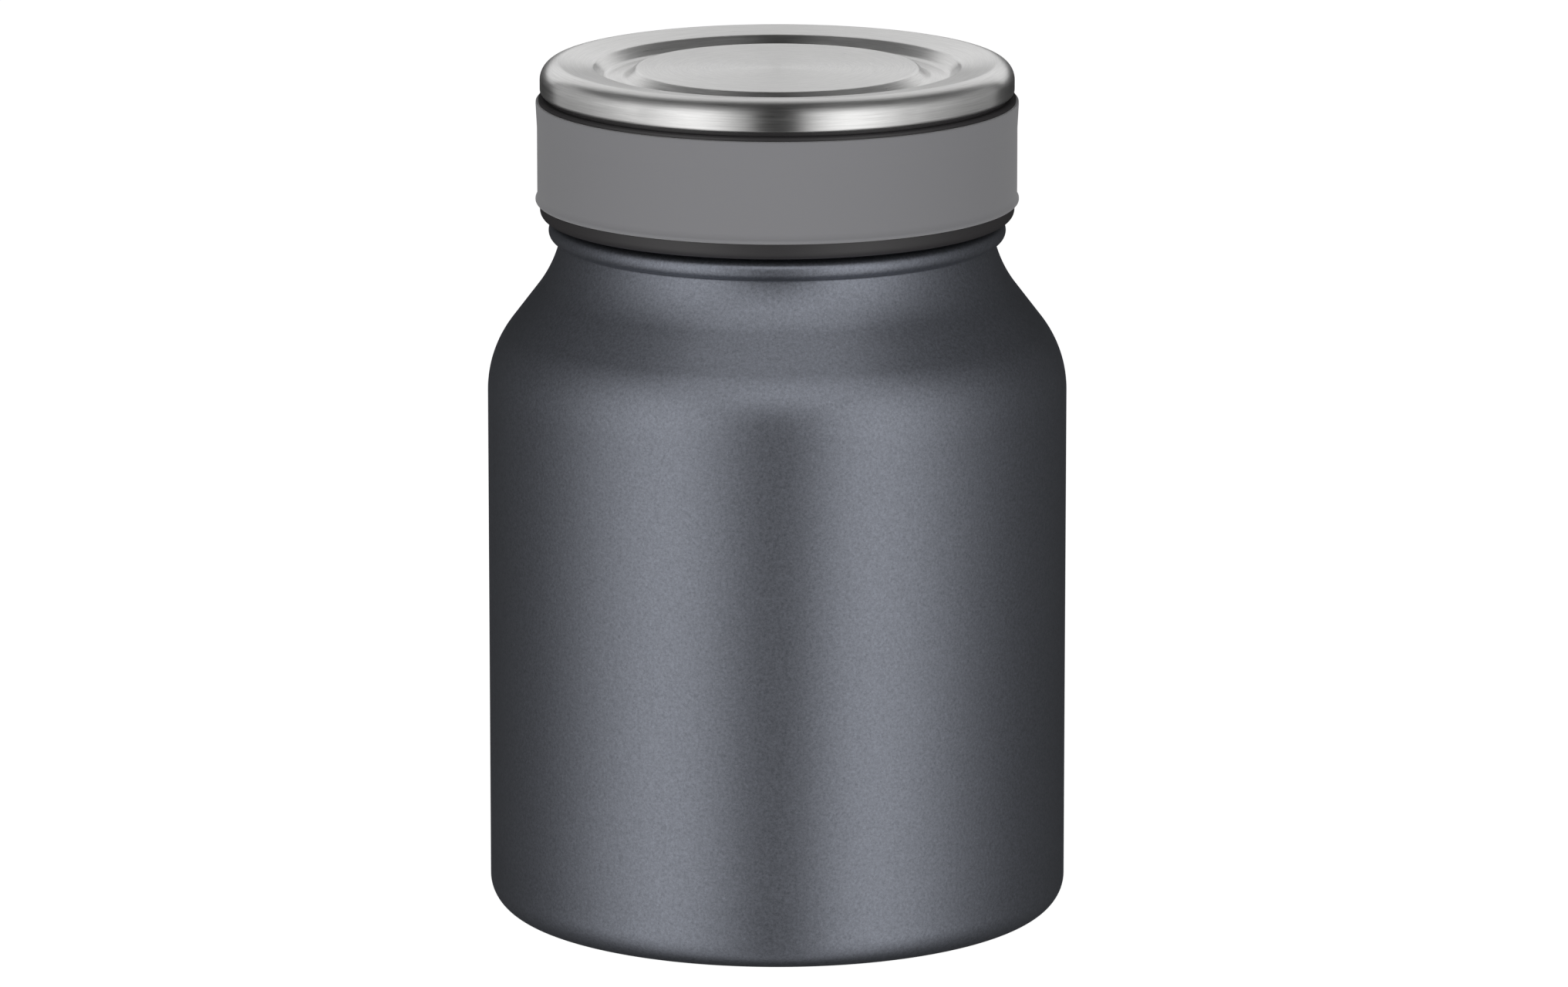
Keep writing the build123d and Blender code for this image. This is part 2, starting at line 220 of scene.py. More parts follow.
# ------------------------------------------------------------------------------- modelling
class Pen:
    """Draws a section in the XZ plane, corner by corner, and spins it into a piece."""

    def __init__(self, name, start):
        bpy.ops.object.select_all(action="DESELECT")
        bpy.ops.mesh.primitive_plane_add(size=MM, location=(start[0], 0, start[1]))
        self.piece = bpy.context.object
        self.piece.name = self.piece.data.name = name
        bpy.ops.object.transform_apply(location=True, rotation=True, scale=True)
        bpy.ops.object.mode_set(mode="EDIT")
        bpy.ops.mesh.select_mode(type="VERT")
        bpy.ops.mesh.select_all(action="SELECT")
        bpy.ops.mesh.merge(type="CENTER")
        self.start = self.point = Vector(start)

    def line(self, point):
        """A straight run to a point."""
        step = Vector(point) - self.point
        if step.length > WELD:
            bpy.ops.mesh.extrude_vertices_move(
                TRANSFORM_OT_translate={"value": (step.x, 0, step.y)}
            )
        self.point = Vector(point)

    def arc(self, centre, turn):
        """An arc round a centre; a positive turn goes from the radius towards the height."""
        spoke = self.point - Vector(centre)
        step = min(ARC_STEP, 2 * math.acos(1 - ARC_SAG / spoke.length))
        bpy.ops.mesh.spin(
            steps=max(2, math.ceil(abs(turn) / step)),
            angle=turn,
            center=(centre[0], 0, centre[1]),
            axis=(0, 1, 0),
        )
        cos, sin = math.cos(turn), math.sin(turn)
        self.point = Vector(centre) + Vector(
            (spoke.x * cos - spoke.y * sin, spoke.x * sin + spoke.y * cos)
        )

    def path(self, corners):
        """Runs through corners, each (radius, height) or (radius, height, rounding)."""
        points = [self.point] + [Vector(corner[:2]) for corner in corners]
        for i, corner in enumerate(corners):
            here = points[i + 1]
            if len(corner) < 3 or i == len(corners) - 1:
                self.line(here)
                continue
            before = (here - self.point).normalized()
            after = (points[i + 2] - here).normalized()
            turn = math.atan2(before.cross(after), before.dot(after))
            self.line(here - before * corner[2] * math.tan(abs(turn) / 2))
            side = Vector((-before.y, before.x)) * math.copysign(corner[2], turn)
            self.arc(self.point + side, turn)

    def turn(self, sheet=0, inward=False):
        """Spins the section round the jar's axis; an open one gets its sheet's thickness.

        The sheet grows behind the faces; inward turns them round where a flange is farthest out.
        """
        if not sheet:
            self.line(self.start)
        bpy.ops.mesh.select_all(action="SELECT")
        bpy.ops.mesh.spin(
            steps=TURN_STEPS, angle=2 * math.pi, center=(0, 0, 0), axis=(0, 0, 1)
        )
        bpy.ops.mesh.select_all(action="SELECT")
        bpy.ops.mesh.remove_doubles(threshold=WELD)
        bpy.ops.mesh.normals_make_consistent(inside=inward)
        bpy.ops.object.mode_set(mode="OBJECT")
        if sheet:
            wall = self.piece.modifiers.new("Sheet", "SOLIDIFY")
            wall.thickness = sheet
            wall.offset = -1
            wall.use_even_offset = True
            wall.use_quality_normals = True
            bpy.ops.object.modifier_apply(modifier=wall.name)
        bpy.ops.object.shade_smooth_by_angle(angle=SMOOTH_ANGLE)
        return self.piece


def closed_piece(name, corners):
    """A turned solid from the corners of its section."""
    pen = Pen(name, corners[0][:2])
    pen.path(corners[1:])
    return pen.turn()


def make_only(piece):
    """Makes a piece the only one selected, and the active one."""
    bpy.ops.object.select_all(action="DESELECT")
    piece.select_set(True)
    bpy.context.view_layer.objects.active = piece


def thread_ridge(sizes, root, crest, rise, bottom):
    """One ridge that climbs round the axis and fades out at both ends."""
    inward = math.copysign(1, root - crest)
    foot = root + inward * sizes.foot
    flank = (sizes.root_width - sizes.crest_width) / 2
    foot_width = sizes.root_width + 2 * flank * sizes.foot / sizes.height
    bpy.ops.object.select_all(action="DESELECT")
    bpy.ops.mesh.primitive_plane_add(
        size=1, location=((foot + crest) / 2, 0, bottom), rotation=(math.pi / 2, 0, 0)
    )
    ridge = bpy.context.object
    ridge.name = ridge.data.name = "thread_ridge"
    ridge.scale = (abs(crest - foot), foot_width, 1)
    bpy.ops.object.transform_apply(location=True, rotation=True, scale=True)
    for vertex in ridge.data.vertices:
        vertex.select = abs(vertex.co.x - crest) < abs(vertex.co.x - foot)
    for edge in ridge.data.edges:
        edge.select = all(ridge.data.vertices[i].select for i in edge.vertices)
    for face in ridge.data.polygons:
        face.select = False
    bpy.ops.object.mode_set(mode="EDIT")
    bpy.ops.mesh.select_mode(type="VERT")
    bpy.ops.transform.resize(
        value=(1, 1, sizes.crest_width / foot_width), center_override=(crest, 0, bottom)
    )
    bpy.ops.mesh.select_all(action="SELECT")
    bpy.ops.mesh.delete(type="ONLY_FACE")
    bpy.ops.object.mode_set(mode="OBJECT")
    sweep = 2 * math.pi * rise / sizes.lead
    steps = round(sweep / RIDGE_STEP)
    climb = ridge.modifiers.new("Climb", "SCREW")
    climb.angle = sweep
    climb.screw_offset = rise
    climb.steps = climb.render_steps = steps
    climb.use_merge_vertices = False
    bpy.ops.object.modifier_apply(modifier=climb.name)
    fade_ends(ridge, sizes, root, crest, sweep)
    bpy.ops.object.mode_set(mode="EDIT")
    bpy.ops.mesh.select_all(action="DESELECT")
    bpy.ops.mesh.select_non_manifold()
    bpy.ops.mesh.edge_face_add()
    bpy.ops.mesh.select_all(action="SELECT")
    bpy.ops.mesh.normals_make_consistent(inside=False)
    bpy.ops.object.mode_set(mode="OBJECT")
    return ridge


def fade_ends(ridge, sizes, root, crest, sweep):
    """Brings the crest of a ridge down to its root over the ramp at each end."""
    groups = {}
    for vertex in ridge.data.vertices:
        x, y = vertex.co.xy
        if abs(math.hypot(x, y) - crest) > sizes.height / 4:
            continue
        climbed = round(math.atan2(y, x) % (2 * math.pi) / RIDGE_STEP)
        near_end = max(0, min(climbed, round(sweep / RIDGE_STEP) - climbed)) * RIDGE_STEP
        if near_end < sizes.ramp:
            groups.setdefault(round(near_end / RIDGE_STEP), []).append(vertex.index)
    for step, members in groups.items():
        share_left = step * RIDGE_STEP / sizes.ramp
        target = root + (crest - root) * share_left
        make_only(ridge)
        for item in list(ridge.data.vertices) + list(ridge.data.edges) + list(ridge.data.polygons):
            item.select = False
        for index in members:
            ridge.data.vertices[index].select = True
        bpy.ops.object.mode_set(mode="EDIT")
        bpy.ops.mesh.select_mode(type="VERT")
        bpy.ops.transform.resize(
            value=(target / crest, target / crest, 1), center_override=(0, 0, 0)
        )
        bpy.ops.object.mode_set(mode="OBJECT")


def add_threads(piece, sizes, root, crest, first, rise, bottom):
    """Sets all starts of a thread round a piece and joins them to it."""
    model = thread_ridge(sizes, root, crest, rise, bottom)
    copies = [model]
    for start in range(1, sizes.starts):
        make_only(model)
        bpy.ops.object.duplicate()
        copies.append(bpy.context.object)
    for start, ridge in enumerate(copies):
        make_only(ridge)
        ridge.rotation_euler.z = first + start * 2 * math.pi / sizes.starts
        bpy.ops.object.transform_apply(location=True, rotation=True, scale=True)
    make_only(piece)
    for ridge in copies:
        ridge.select_set(True)
    bpy.ops.object.join()
    bpy.ops.object.shade_smooth_by_angle(angle=SMOOTH_ANGLE)


# ------------------------------------------------------------------------------- materials
def add_node(tree, kind, inputs=None, **settings):
    """Adds a node; inputs maps a socket's name or number to a value or to another socket."""
    new = tree.nodes.new(kind)
    for name, value in settings.items():
        setattr(new, name, value)
    for name, value in (inputs or {}).items():
        if isinstance(value, bpy.types.NodeSocket):
            tree.links.new(value, new.inputs[name])
        else:
            new.inputs[name].default_value = value
    return new


def math_of(tree, operation, first, second=0.0):
    """The result of a Math node."""
    return add_node(tree, "ShaderNodeMath", {0: first, 1: second}, operation=operation).outputs[0]


def new_group(name, inputs, outputs):
    """An empty node group with named sockets, and its input and output nodes."""
    group = bpy.data.node_groups.new(name, "ShaderNodeTree")
    for label, (kind, value) in inputs.items():
        socket = group.interface.new_socket(name=label, in_out="INPUT", socket_type=kind)
        socket.default_value = value
    for label, kind in outputs.items():
        group.interface.new_socket(name=label, in_out="OUTPUT", socket_type=kind)
    return group, group.nodes.new("NodeGroupInput"), group.nodes.new("NodeGroupOutput")


def fine_grain():
    """Group: fine grain and a broad mottle over a colour, and the height of the grain."""
    name = "Fine grain"
    if name in bpy.data.node_groups:
        return bpy.data.node_groups[name]
    group, given, result = new_group(
        name,
        {
            "Color": ("NodeSocketColor", (0.5, 0.5, 0.5, 1)),
            "Scale": ("NodeSocketFloat", 4000.0),
            "Amount": ("NodeSocketFloat", 0.3),
            "Mottle Scale": ("NodeSocketFloat", 60.0),
            "Mottle": ("NodeSocketFloat", 0.03),
        },
        {"Color": "NodeSocketColor", "Height": "NodeSocketFloat"},
    )
    place = add_node(group, "ShaderNodeTexCoord").outputs["Object"]
    grain = add_node(
        group,
        "ShaderNodeTexNoise",
        {"Vector": place, "Scale": given.outputs["Scale"], "Detail": 3.0, "Roughness": 0.9},
    ).outputs["Fac"]
    cloud = add_node(
        group,
        "ShaderNodeTexNoise",
        {"Vector": place, "Scale": given.outputs["Mottle Scale"], "Detail": 3.0},
    ).outputs["Fac"]
    gain = centred_gain(group, grain, given.outputs["Amount"])
    drift = centred_gain(group, cloud, given.outputs["Mottle"])
    both = math_of(group, "MULTIPLY", gain, drift)
    shaded = add_node(
        group, "ShaderNodeVectorMath", {0: given.outputs["Color"], "Scale": both}, operation="SCALE"
    ).outputs["Vector"]
    group.links.new(shaded, result.inputs["Color"])
    group.links.new(grain, result.inputs["Height"])
    return group


def centred_gain(tree, value, amount):
    """A factor about 1 that follows a value about one half."""
    centred = math_of(tree, "SUBTRACT", value, 0.5)
    return add_node(
        tree, "ShaderNodeMath", {0: centred, 1: amount, 2: 1.0}, operation="MULTIPLY_ADD"
    ).outputs[0]


def turned_brushing():
    """Group: streaks of a brush that ran round the jar's axis, as a mask and a height."""
    name = "Turned brushing"
    if name in bpy.data.node_groups:
        return bpy.data.node_groups[name]
    group, given, result = new_group(
        name,
        {
            "Color": ("NodeSocketColor", (0.5, 0.5, 0.5, 1)),
            "Fineness": ("NodeSocketFloat", 5000.0),
            "Shortness": ("NodeSocketFloat", 5.0),
            "Amount": ("NodeSocketFloat", 0.2),
        },
        {"Color": "NodeSocketColor", "Mask": "NodeSocketFloat"},
    )
    place = add_node(group, "ShaderNodeTexCoord").outputs["Object"]
    parts = add_node(group, "ShaderNodeSeparateXYZ", {0: place}).outputs
    flat = add_node(group, "ShaderNodeVectorMath", {0: place, 1: (1, 1, 0)}, operation="MULTIPLY")
    radius = add_node(
        group, "ShaderNodeVectorMath", {0: flat.outputs["Vector"]}, operation="LENGTH"
    ).outputs["Value"]
    ring = math_of(group, "MULTIPLY", radius, given.outputs["Fineness"])
    level = math_of(group, "MULTIPLY", parts["Z"], given.outputs["Fineness"])
    heading = add_node(
        group, "ShaderNodeVectorMath", {0: flat.outputs["Vector"]}, operation="NORMALIZE"
    ).outputs["Vector"]
    heading = add_node(
        group,
        "ShaderNodeVectorMath",
        {0: heading, "Scale": given.outputs["Shortness"]},
        operation="SCALE",
    ).outputs["Vector"]
    heading = add_node(group, "ShaderNodeSeparateXYZ", {0: heading}).outputs
    along = add_node(
        group, "ShaderNodeCombineXYZ", {"X": heading["X"], "Y": heading["Y"], "Z": ring}
    ).outputs[0]
    streaks = add_node(
        group,
        "ShaderNodeTexNoise",
        {"Vector": along, "W": level, "Scale": 1.0, "Detail": 3.0, "Roughness": 0.75},
        noise_dimensions="4D",
    ).outputs["Fac"]
    gain = centred_gain(group, streaks, given.outputs["Amount"])
    shaded = add_node(
        group, "ShaderNodeVectorMath", {0: given.outputs["Color"], "Scale": gain}, operation="SCALE"
    ).outputs["Vector"]
    group.links.new(shaded, result.inputs["Color"])
    group.links.new(streaks, result.inputs["Mask"])
    return group


def place_group(tree, group, inputs):
    """Places a shared group in a material with this material's own values."""
    placed = tree.nodes.new("ShaderNodeGroup")
    placed.node_tree = group
    for name, value in inputs.items():
        placed.inputs[name].default_value = value
    return placed


def new_finish(name, **sockets):
    """A material with an empty tree but for its shader, whose constant sockets are set here."""
    finish = bpy.data.materials.new(name)
    finish.use_nodes = True
    shader = finish.node_tree.nodes["Principled BSDF"]
    for label, value in sockets.items():
        shader.inputs[label.replace("_", " ")].default_value = value
    return finish, finish.node_tree, shader


def vary(tree, value, low_end, high_end):
    """Maps a value from 0 to 1 onto a range."""
    return add_node(
        tree, "ShaderNodeMapRange", {"Value": value, "To Min": low_end, "To Max": high_end}
    ).outputs["Result"]


def add_bump(tree, shader, height, strength, distance):
    """Feeds a height into the shader's normal."""
    bump = add_node(
        tree, "ShaderNodeBump", {"Strength": strength, "Distance": distance, "Height": height}
    )
    tree.links.new(bump.outputs["Normal"], shader.inputs["Normal"])


def grained_finish(name, tint, roughness, grain, mottle, depth, scale=4000.0, **sockets):
    """A finish with a fine even grain: coat, rubber, plastic or foam."""
    finish, tree, shader = new_finish(name, **sockets)
    texture = place_group(
        tree,
        fine_grain(),
        {"Color": (*tint, 1), "Scale": scale, "Amount": grain, "Mottle": mottle},
    )
    tree.links.new(texture.outputs["Color"], shader.inputs["Base Color"])
    rough = vary(
        tree, texture.outputs["Height"], roughness - GRAIN_SPREAD, roughness + GRAIN_SPREAD
    )
    tree.links.new(rough, shader.inputs["Roughness"])
    add_bump(tree, shader, texture.outputs["Height"], 1.0, depth)
    return finish


def brushed_finish(name, tint, roughness, amount, depth, fineness=5000.0, shortness=5.0, **sockets):
    """Stainless steel that was brushed or polished while it turned."""
    finish, tree, shader = new_finish(name, Metallic=1.0, **sockets)
    texture = place_group(
        tree,
        turned_brushing(),
        {"Color": (*tint, 1), "Fineness": fineness, "Shortness": shortness, "Amount": amount},
    )
    tree.links.new(texture.outputs["Color"], shader.inputs["Base Color"])
    rough = vary(
        tree, texture.outputs["Mask"], roughness - BRUSHING_SPREAD, roughness + BRUSHING_SPREAD
    )
    tree.links.new(rough, shader.inputs["Roughness"])
    add_bump(tree, shader, texture.outputs["Mask"], 1.0, depth)
    return finish


def finish_named(name):
    """The finish of that name, made the first time that a piece asks for it."""
    if name in bpy.data.materials:
        return bpy.data.materials[name]
    look = bpy.context.scene.jar_finishes
    finishes = {
        "slate_coat": (grained_finish, look.coat, dict(
            roughness=0.39, grain=2 * look.coat_grain, mottle=0.04, depth=0.01 * MM,
            scale=2200.0, Metallic=0.9,
        )),
        "polished_steel": (brushed_finish, look.steel, dict(
            roughness=0.3, amount=0.12, depth=0.0004 * MM,
        )),
        "brushed_steel": (brushed_finish, look.steel, dict(
            roughness=0.3, amount=2 * look.brushing, depth=0.0016 * MM, fineness=4000.0,
            Anisotropic=0.8, Anisotropic_Rotation=0.25,
        )),
        "band_silicone": (grained_finish, look.band, dict(
            roughness=0.75, grain=0.08, mottle=0.03, depth=0.002 * MM, Sheen_Weight=0.6,
            Sheen_Roughness=0.5,
        )),
        "dark_plastic": (grained_finish, look.plastic, dict(
            roughness=0.47, grain=0.1, mottle=0.05, depth=0.002 * MM,
        )),
        "food_plastic": (grained_finish, look.plug, dict(
            roughness=0.45, grain=0.1, mottle=0.05, depth=0.002 * MM,
        )),
        "seal_silicone": (grained_finish, look.gasket, dict(
            roughness=0.5, grain=0.04, mottle=0.03, depth=0.001 * MM, Subsurface_Weight=0.3,
        )),
        "solder_plug": (grained_finish, (0.55, 0.55, 0.54), dict(
            roughness=0.4, grain=0.2, mottle=0.1, depth=0.01 * MM, scale=1500.0, Metallic=1.0,
        )),
        "foil_wrap": (grained_finish, (0.8, 0.45, 0.3), dict(
            roughness=0.3, grain=0.08, mottle=0.1, depth=0.02 * MM, scale=300.0, Metallic=1.0,
        )),
        "getter_pill": (grained_finish, (0.42, 0.4, 0.38), dict(
            roughness=0.6, grain=0.3, mottle=0.1, depth=0.02 * MM, scale=2000.0, Metallic=0.8,
        )),
        "pale_foam": (grained_finish, (0.78, 0.74, 0.6), dict(
            roughness=0.9, grain=0.35, mottle=0.05, depth=0.2 * MM, scale=900.0,
        )),
    }
    make, tint, settings = finishes[name]
    return make(name, tint, **settings)


def dress(piece, *finishes):
    """Gives a piece its finishes in place of those it has."""
    piece.data.materials.clear()
    for name in finishes:
        piece.data.materials.append(finish_named(name))


def seat(piece, body, slot, *nodes):
    """Says what a finished piece rides on, and hides the nodes that it stands for; slot is not
    used.
    """
    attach(piece, body)
    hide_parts(*nodes)


# ------------------------------------------------------------------------------- jar pieces
def slope_height(jar, radius, inset=0.0):
    """Height of the shoulder's slope at a radius, on a line set in from the outside."""
    across = (radius - jar.neck_radius) * math.cos(jar.slope) + inset
    return jar.neck_foot - across / math.sin(jar.slope)


def meeting(first, first_radius, second, second_radius, upper):
    """Where two circles meet: the upper or the lower of the two points."""
    gap = second - first
    reach_along = (gap.length_squared + first_radius**2 - second_radius**2) / (2 * gap.length)
    aside = math.sqrt(first_radius**2 - reach_along**2)
    middle = first + gap.normalized() * reach_along
    side = Vector((-gap.y, gap.x)).normalized() * aside
    points = sorted((middle + side, middle - side), key=lambda point: point.y)
    return points[1 if upper else 0]


def heading_of(vector):
    """Angle of a vector in the section's plane, from the radius towards the height."""
    return math.atan2(vector.y, vector.x)


def draw_neck_and_bead(pen, jar):
    """Draws the throat, the rolled bead between its two creases, and the neck."""
    tangent = jar.throat_rounding * math.tan(jar.slope / 2)
    throat = Vector((jar.neck_radius + jar.throat_rounding, jar.neck_foot + tangent))
    bead_radius = jar.neck_radius + jar.bead_projection - jar.bead_section
    bead = Vector((bead_radius, jar.bead_height))
    air = jar.throat_rounding - jar.bead_crease
    ball = jar.bead_section + jar.bead_crease
    lower = meeting(throat, air, bead, ball, upper=False)
    upper = meeting(throat, air, bead, ball, upper=True)
    start = heading_of(pen.point - throat)
    pen.arc(throat, wrapped(heading_of(lower - throat) - start))
    pen.arc(lower, wrapped(heading_of(bead - lower) - heading_of(pen.point - lower)))
    sweep = heading_of(upper - bead) - heading_of(lower - bead)
    pen.arc(bead, sweep % (2 * math.pi))
    pen.arc(upper, wrapped(heading_of(upper - throat) - heading_of(pen.point - upper)))
    pen.arc(throat, wrapped(math.pi - heading_of(pen.point - throat)))


def wrapped(turn):
    """The same turn between half a turn back and half a turn on."""
    return (turn + math.pi) % (2 * math.pi) - math.pi


class JAR_OT_wall(bpy.types.Operator):
    """Coated wall with its shoulder, rolled bead and bare threaded neck"""

    bl_idname = "food_jar.wall"
    bl_label = "Coated wall and neck"

    def execute(self, context):
        jar, thread = context.scene.jar_sizes, context.scene.thread_sizes
        pen = Pen("coated_wall", (jar.wall_radius, jar.weld_height))
        shoulder = (
            jar.wall_radius,
            slope_height(jar, jar.wall_radius),
            jar.shoulder_rounding,
        )
        tangent = jar.throat_rounding * math.tan(jar.slope / 2)
        foot = Vector((jar.neck_radius, jar.neck_foot))
        down_slope = Vector((math.sin(jar.slope), -math.cos(jar.slope)))
        pen.path([shoulder, tuple(foot + down_slope * tangent)])
        draw_neck_and_bead(pen, jar)
        pen.line((jar.neck_radius, jar.neck_top))
        wall = pen.turn(sheet=jar.wall_sheet)
        above_bead, below_rim = 5.7 * MM, 2.2 * MM
        bottom = jar.bead_height + above_bead
        rise = jar.neck_top - below_rim - bottom
        crest = jar.neck_radius + thread.height
        add_threads(wall, thread, jar.neck_radius, crest, 0, rise, bottom)
        dress(wall, "slate_coat", "polished_steel")
        for face in wall.data.polygons:
            inner = face.normal.xy.dot(face.center.xy) < 0
            face.material_index = 1 if inner or face.center.z > jar.coat_top else 0
        seat(wall, "jar", "body_coat", "outer_shell")
        return {"FINISHED"}


class JAR_OT_base(bpy.types.Operator):
    """Coated base cup with the standing ring, the recess and the sealed pumping hole"""

    bl_idname = "food_jar.base"
    bl_label = "Base cup"

    def execute(self, context):
        jar = context.scene.jar_sizes
        ring_inner = jar.wall_radius - jar.base_rounding - jar.stand_ring
        recess = ring_inner - jar.recess_run
        dimple, dimple_slope, dimple_rounding, hole = 6 * MM, 1 * MM, 0.7 * MM, 1 * MM
        dimple_top = jar.recess_depth + 1.2 * MM
        pen = Pen("base_cup_coated", (jar.wall_radius, jar.weld_height))
        pen.path(
            [
                (jar.wall_radius, 0, jar.base_rounding),
                (ring_inner, 0, jar.recess_run),
                (recess, jar.recess_depth, jar.recess_run),
                (dimple, jar.recess_depth, dimple_rounding),
                (dimple - dimple_slope, dimple_top, dimple_rounding),
                (hole, dimple_top),
            ]
        )
        cup = pen.turn(sheet=jar.wall_sheet)
        dress(cup, "slate_coat", "polished_steel")
        for face in cup.data.polygons:
            face.material_index = 1 if face.center.xy.length < recess or is_inner(face) else 0
        seat(cup, "jar", "body_coat", "base_cup")
        return {"FINISHED"}


def is_inner(face):
    """Whether a face of the base cup looks up into the vacuum."""
    return face.normal.z > 0.1 or face.normal.xy.dot(face.center.xy) < 0


class JAR_OT_liner(bpy.types.Operator):
    """Inner steel vessel, from its floor to the flange at the mouth"""

    bl_idname = "food_jar.liner"
    bl_label = "Inner vessel"

    def execute(self, context):
        jar = context.scene.jar_sizes
        floor_rounding, shoulder_rounding = 9 * MM, 13.5 * MM
        throat_rounding, mouth_rounding = 19 * MM, 0.3 * MM
        slope_bottom = slope_height(jar, jar.liner_radius, jar.liner_inset)
        slope_top = slope_height(jar, jar.liner_neck, jar.liner_inset)
        pen = Pen("food_vessel", (0, low("inner_liner")))
        pen.path(
            [
                (jar.liner_radius, low("inner_liner"), floor_rounding),
                (jar.liner_radius, slope_bottom, shoulder_rounding),
                (jar.liner_neck, slope_top, throat_rounding),
                (jar.liner_neck, jar.neck_top, mouth_rounding),
                (jar.neck_radius, jar.neck_top),
            ]
        )
        liner = pen.turn(sheet=jar.liner_sheet, inward=True)
        dress(liner, "polished_steel")
        seat(liner, "jar", "bare_steel", "inner_liner")
        return {"FINISHED"}


# ------------------------------------------------------------------------------- lid pieces
class JAR_OT_lid_shell(bpy.types.Operator):
    """Dark plastic shell of the lid, with its skirt and inner thread"""

    bl_idname = "food_jar.lid_shell"
    bl_label = "Lid shell"

    def execute(self, context):
        lid, thread = context.scene.lid_sizes, context.scene.thread_sizes
        bottom, top = low("lid_shell"), high("lid_shell")
        flange_top = high("lid_plug")
        groove_floor = lid.cap_bottom + lid.cap_height - lid.disc_drop - lid.groove_depth
        under_groove, deck_thickness = 0.8 * MM, 1.8 * MM
        deck_top = groove_floor - under_groove
        deck_bottom = deck_top - deck_thickness
        weld_inset, ring_thickness, rim_thickness = 0.4 * MM, 1.5 * MM, 3 * MM
        ring_outer = reach("lid_plug") - weld_inset
        ring_inner = ring_outer - ring_thickness
        rim_inner = lid.wall_radius - rim_thickness
        bore_rounding, rim_rounding = 0.2 * MM, 2.2 * MM
        shell = closed_piece(
            "lid_shell_plastic",
            [
                (0, deck_bottom),
                (ring_inner, deck_bottom),
                (ring_inner, flange_top),
                (ring_outer, flange_top),
                (ring_outer, deck_bottom),
                (lid.bore_radius, deck_bottom),
                (lid.bore_radius, bottom, bore_rounding),
                (lid.skirt_radius, bottom, lid.skirt_rounding),
                (lid.skirt_radius, lid.band_bottom),
                (lid.wall_radius, lid.band_bottom),
                (lid.wall_radius, lid.band_top),
                (lid.collar_radius, lid.band_top),
                (lid.collar_radius, lid.band_top + lid.collar_height, lid.collar_rounding),
                (lid.wall_radius, lid.band_top + lid.collar_height),
                (lid.wall_radius, top, rim_rounding),
                (rim_inner, top),
                (rim_inner, deck_top),
                (0, deck_top),
            ],
        )
        crest = lid.bore_radius - thread.height
        # The lid's ridges run midway between the neck's.
        start, start_height, rise = math.radians(10), 116.8908 * MM, 5.4 * MM
        add_threads(shell, thread, lid.bore_radius, crest, start, rise, start_height)
        dress(shell, "dark_plastic")
        seat(shell, "lid", "lid_plastic", "lid_shell")
        return {"FINISHED"}


class JAR_OT_band(bpy.types.Operator):
    """Soft grip band with a small lip at each edge"""

    bl_idname = "food_jar.band"
    bl_label = "Grip band"

    def execute(self, context):
        lid = context.scene.lid_sizes
        stretch = 0.05 * MM  # room between the band and the wall that it grips
        inner = lid.wall_radius + stretch
        lower, upper = lid.band_radius + lid.lower_lip, lid.band_radius + lid.upper_lip
        rounding = lid.lip_rounding
        lower_sweep, upper_sweep = 2 * MM, 3 * MM  # roundings from the wall into each lip
        band = closed_piece(
            "soft_band",
            [
                (inner, lid.band_bottom),
                (lower, lid.band_bottom, rounding),
                (lower, lid.band_bottom + lid.lip_height / 2, rounding),
                (lid.band_radius, lid.band_bottom + lid.lip_height, lower_sweep),
                (lid.band_radius, lid.band_top - 4 * lid.lip_height, upper_sweep),
                (upper, lid.band_top - lid.lip_height / 2, rounding),
                (upper, lid.band_top, rounding / 2),
                (inner, lid.band_top),
            ],
        )
        dress(band, "band_silicone")
        seat(band, "lid", "band_rubber", "grip_band")
        return {"FINISHED"}


class JAR_OT_cap(bpy.types.Operator):
    """Brushed steel cap with a hemmed side, a ring groove and a raised disc"""

    bl_idname = "food_jar.cap"
    bl_label = "Steel cap"

    def execute(self, context):
        lid = context.scene.lid_sizes
        top = lid.cap_bottom + lid.cap_height
        disc = top - lid.disc_drop
        floor = disc - lid.groove_depth
        outer = lid.cap_radius - lid.rim_width
        inner = outer - lid.groove_width
        run = lid.groove_slope
        hem_room, edge_rounding = 0.15 * MM, 0.7 * MM
        pen = Pen("steel_cap", (lid.wall_radius + hem_room, lid.cap_bottom))
        pen.path(
            [
                (lid.cap_radius, lid.cap_bottom, edge_rounding),
                (lid.cap_radius, top, lid.cap_rounding),
                (outer, top - lid.rim_fall, edge_rounding),
                (outer - run, floor, lid.groove_rounding),
                (inner + run, floor, lid.groove_rounding),
                (inner, disc, edge_rounding),
                (0, disc),
            ]
        )
        cap = pen.turn(sheet=lid.cap_sheet)
        dress(cap, "brushed_steel")
        seat(cap, "lid", "cap_steel", "lid_cover")
        return {"FINISHED"}


